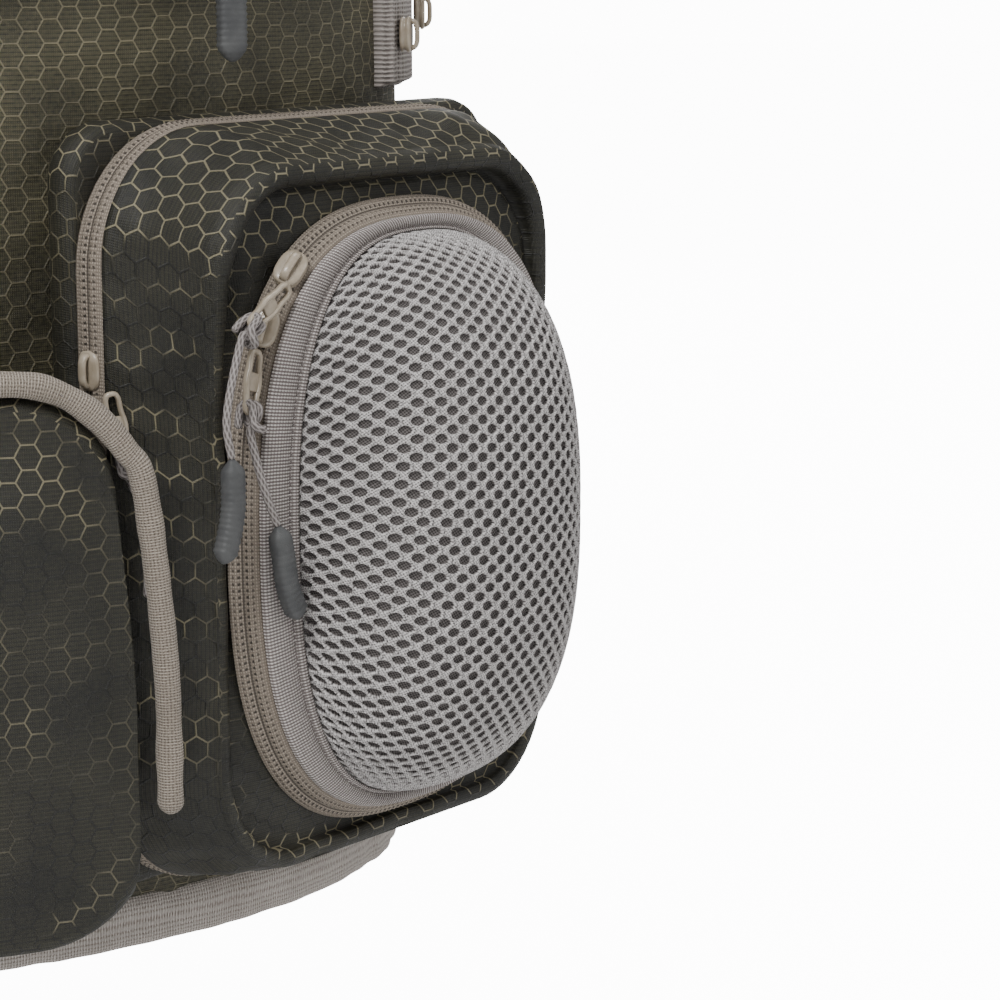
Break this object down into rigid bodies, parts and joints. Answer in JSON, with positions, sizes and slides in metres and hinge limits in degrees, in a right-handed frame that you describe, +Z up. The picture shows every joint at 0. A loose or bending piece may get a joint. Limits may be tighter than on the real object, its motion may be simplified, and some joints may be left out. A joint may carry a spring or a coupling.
{
  "type": "fishing vest",
  "caption": "Fishing vest in olive ripstop with cargo pockets, each carrying a moulded mesh fly pod with a zip, front pockets with knit binding, and cord zip pulls.",
  "frame": {"origin": "middle of the shoulder line, where the vest hangs from the shoulders or a hanger", "axes": "+Z up, +X to the wearer's left, -Y out of the front"},
  "size_m": [0.5238, 0.3276, 0.6233],
  "materials": {
    "shell_ripstop": "matte",
    "knit_binding": "matte",
    "hem_knit": "matte",
    "zip_tape": "matte",
    "grosgrain": "matte",
    "spacer_mesh": "matte",
    "foam": "matte",
    "braided_cord": "matte",
    "grip_rubber": "matte",
    "slider_enamel": "gloss"
  },
  "bodies": {
    "shell": {"back_panel": "shell_ripstop", "cargo_base_left": "shell_ripstop", "cargo_base_right": "shell_ripstop", "cargo_front_left": "shell_ripstop", "cargo_front_right": "shell_ripstop", "cargo_zip_left": "zip_tape", "cargo_zip_right": "zip_tape", "chest_pocket_left": "shell_ripstop", "chest_pocket_right": "shell_ripstop", "collar": "knit_binding", "flank_zip_left": "zip_tape", "flank_zip_right": "zip_tape", "front_panel_left": "shell_ripstop", "front_panel_right": "shell_ripstop", "front_pocket_binding_left": "knit_binding", "front_pocket_binding_right": "knit_binding", "front_pocket_left": "shell_ripstop", "front_pocket_right": "shell_ripstop", "front_zip": "zip_tape", "hem_band": "hem_knit", "pod_zip_left": "zip_tape", "pod_zip_right": "zip_tape"},
    "pod_door_left": {"pod_band_left": "grosgrain", "pod_cover_left": "spacer_mesh", "fly_foam_left": "foam"},
    "pod_slider_upper_left": {"pod_slider_upper_left": "slider_enamel"},
    "pod_pull_upper_left": {"pod_link_upper_left": "slider_enamel", "pod_cord_upper_left": "braided_cord", "pod_grip_upper_left": "grip_rubber"},
    "pod_slider_lower_left": {"pod_slider_lower_left": "slider_enamel"},
    "pod_pull_lower_left": {"pod_link_lower_left": "slider_enamel", "pod_cord_lower_left": "braided_cord", "pod_grip_lower_left": "grip_rubber"},
    "cargo_slider_left": {"cargo_slider_left": "slider_enamel"},
    "cargo_pull_left": {"cargo_link_left": "slider_enamel", "cargo_cord_left": "braided_cord"},
    "chest_slider_left": {"chest_slider_left": "slider_enamel"},
    "chest_grip_left": {"chest_grip_left": "grip_rubber"},
    "flank_slider_inner_left": {"flank_slider_inner_left": "slider_enamel"},
    "flank_slider_outer_left": {"flank_slider_outer_left": "slider_enamel"},
    "pod_door_right": {"pod_band_right": "grosgrain", "pod_cover_right": "spacer_mesh", "fly_foam_right": "foam"},
    "pod_slider_upper_right": {"pod_slider_upper_right": "slider_enamel"},
    "pod_pull_upper_right": {"pod_link_upper_right": "slider_enamel", "pod_cord_upper_right": "braided_cord", "pod_grip_upper_right": "grip_rubber"},
    "pod_slider_lower_right": {"pod_slider_lower_right": "slider_enamel"},
    "pod_pull_lower_right": {"pod_link_lower_right": "slider_enamel", "pod_cord_lower_right": "braided_cord", "pod_grip_lower_right": "grip_rubber"},
    "cargo_slider_right": {"cargo_slider_right": "slider_enamel"},
    "cargo_pull_right": {"cargo_link_right": "slider_enamel", "cargo_cord_right": "braided_cord"},
    "chest_slider_right": {"chest_slider_right": "slider_enamel"},
    "chest_grip_right": {"chest_grip_right": "grip_rubber"},
    "flank_slider_inner_right": {"flank_slider_inner_right": "slider_enamel"},
    "flank_slider_outer_right": {"flank_slider_outer_right": "slider_enamel"},
    "front_zip_slider": {"front_zip_slider": "slider_enamel"},
    "front_zip_pull": {"front_zip_pull": "grip_rubber"}
  },
  "joints": [
    {"name": "pod_hinge_left", "type": "hinge", "parent": "shell", "child": "pod_door_left", "pos_m": [0.2121, -0.10095, -0.583], "axis": [0.7431, 0.6691, 0], "range_deg": [0, 95]},
    {"name": "pod_slide_upper_left", "type": "slide", "parent": "pod_door_left", "child": "pod_slider_upper_left", "axis": [0.5254, 0.473, 0.7073], "range_m": [0, 0.008]},
    {"name": "pod_pull_swing_upper_left", "type": "hinge", "parent": "pod_slider_upper_left", "child": "pod_pull_upper_left", "pos_m": [0.17476, -0.13983, -0.4224], "axis": [-0.7431, -0.6691, 0], "range_deg": [0, 75]},
    {"name": "pod_slide_lower_left", "type": "slide", "parent": "pod_door_left", "child": "pod_slider_lower_left", "axis": [-0.3371, -0.3035, -0.8912], "range_m": [0, 0.008]},
    {"name": "pod_pull_swing_lower_left", "type": "hinge", "parent": "pod_slider_lower_left", "child": "pod_pull_lower_left", "pos_m": [0.16519, -0.14306, -0.4389], "axis": [-0.7431, -0.6691, 0], "range_deg": [0, 75]},
    {"name": "cargo_slide_left", "type": "slide", "parent": "shell", "child": "cargo_slider_left", "axis": [0, 0, 1], "range_m": [0, 0.018]},
    {"name": "cargo_pull_swing_left", "type": "hinge", "parent": "cargo_slider_left", "child": "cargo_pull_left", "pos_m": [0.12456, -0.1539, -0.448], "axis": [-0.1925, -0.9784, -0.0753], "range_deg": [0, 20]},
    {"name": "chest_slide_left", "type": "slide", "parent": "shell", "child": "chest_slider_left", "axis": [0, 0, 1], "range_m": [0, 0.084]},
    {"name": "chest_grip_swing_left", "type": "hinge", "parent": "chest_slider_left", "child": "chest_grip_left", "pos_m": [0.16173, -0.11949, -0.3285], "axis": [-0.91, -0.4147, 0], "range_deg": [0, 85]},
    {"name": "flank_slide_inner_left", "type": "slide", "parent": "shell", "child": "flank_slider_inner_left", "axis": [0, 0, 1], "range_m": [0, 0.085]},
    {"name": "flank_slide_outer_left", "type": "slide", "parent": "shell", "child": "flank_slider_outer_left", "axis": [0, 0, 1], "range_m": [0, 0.085]},
    {"name": "pod_hinge_right", "type": "hinge", "parent": "shell", "child": "pod_door_right", "pos_m": [-0.2121, -0.10095, -0.583], "axis": [0.7431, -0.6691, 0], "range_deg": [0, 95]},
    {"name": "pod_slide_upper_right", "type": "slide", "parent": "pod_door_right", "child": "pod_slider_upper_right", "axis": [-0.5254, 0.473, 0.7073], "range_m": [0, 0.008]},
    {"name": "pod_pull_swing_upper_right", "type": "hinge", "parent": "pod_slider_upper_right", "child": "pod_pull_upper_right", "pos_m": [-0.17476, -0.13983, -0.4224], "axis": [-0.7431, 0.6691, 0], "range_deg": [0, 75]},
    {"name": "pod_slide_lower_right", "type": "slide", "parent": "pod_door_right", "child": "pod_slider_lower_right", "axis": [0.3371, -0.3035, -0.8912], "range_m": [0, 0.008]},
    {"name": "pod_pull_swing_lower_right", "type": "hinge", "parent": "pod_slider_lower_right", "child": "pod_pull_lower_right", "pos_m": [-0.16519, -0.14306, -0.4389], "axis": [-0.7431, 0.6691, 0], "range_deg": [0, 75]},
    {"name": "cargo_slide_right", "type": "slide", "parent": "shell", "child": "cargo_slider_right", "axis": [0, 0, 1], "range_m": [0, 0.018]},
    {"name": "cargo_pull_swing_right", "type": "hinge", "parent": "cargo_slider_right", "child": "cargo_pull_right", "pos_m": [-0.12456, -0.1539, -0.448], "axis": [-0.1925, 0.9784, 0.0753], "range_deg": [0, 20]},
    {"name": "chest_slide_right", "type": "slide", "parent": "shell", "child": "chest_slider_right", "axis": [0, 0, 1], "range_m": [0, 0.084]},
    {"name": "chest_grip_swing_right", "type": "hinge", "parent": "chest_slider_right", "child": "chest_grip_right", "pos_m": [-0.16173, -0.11949, -0.3285], "axis": [-0.91, 0.4147, 0], "range_deg": [0, 85]},
    {"name": "flank_slide_inner_right", "type": "slide", "parent": "shell", "child": "flank_slider_inner_right", "axis": [0, 0, 1], "range_m": [0, 0.085]},
    {"name": "flank_slide_outer_right", "type": "slide", "parent": "shell", "child": "flank_slider_outer_right", "axis": [0, 0, 1], "range_m": [0, 0.085]},
    {"name": "front_zip_slide", "type": "slide", "parent": "shell", "child": "front_zip_slider", "axis": [0, 0, -1], "range_m": [0, 0.38]},
    {"name": "front_pull_swing", "type": "hinge", "parent": "front_zip_slider", "child": "front_zip_pull", "pos_m": [0, -0.1483, -0.2115], "axis": [-1, 0, 0], "range_deg": [0, 85]}
  ]
}
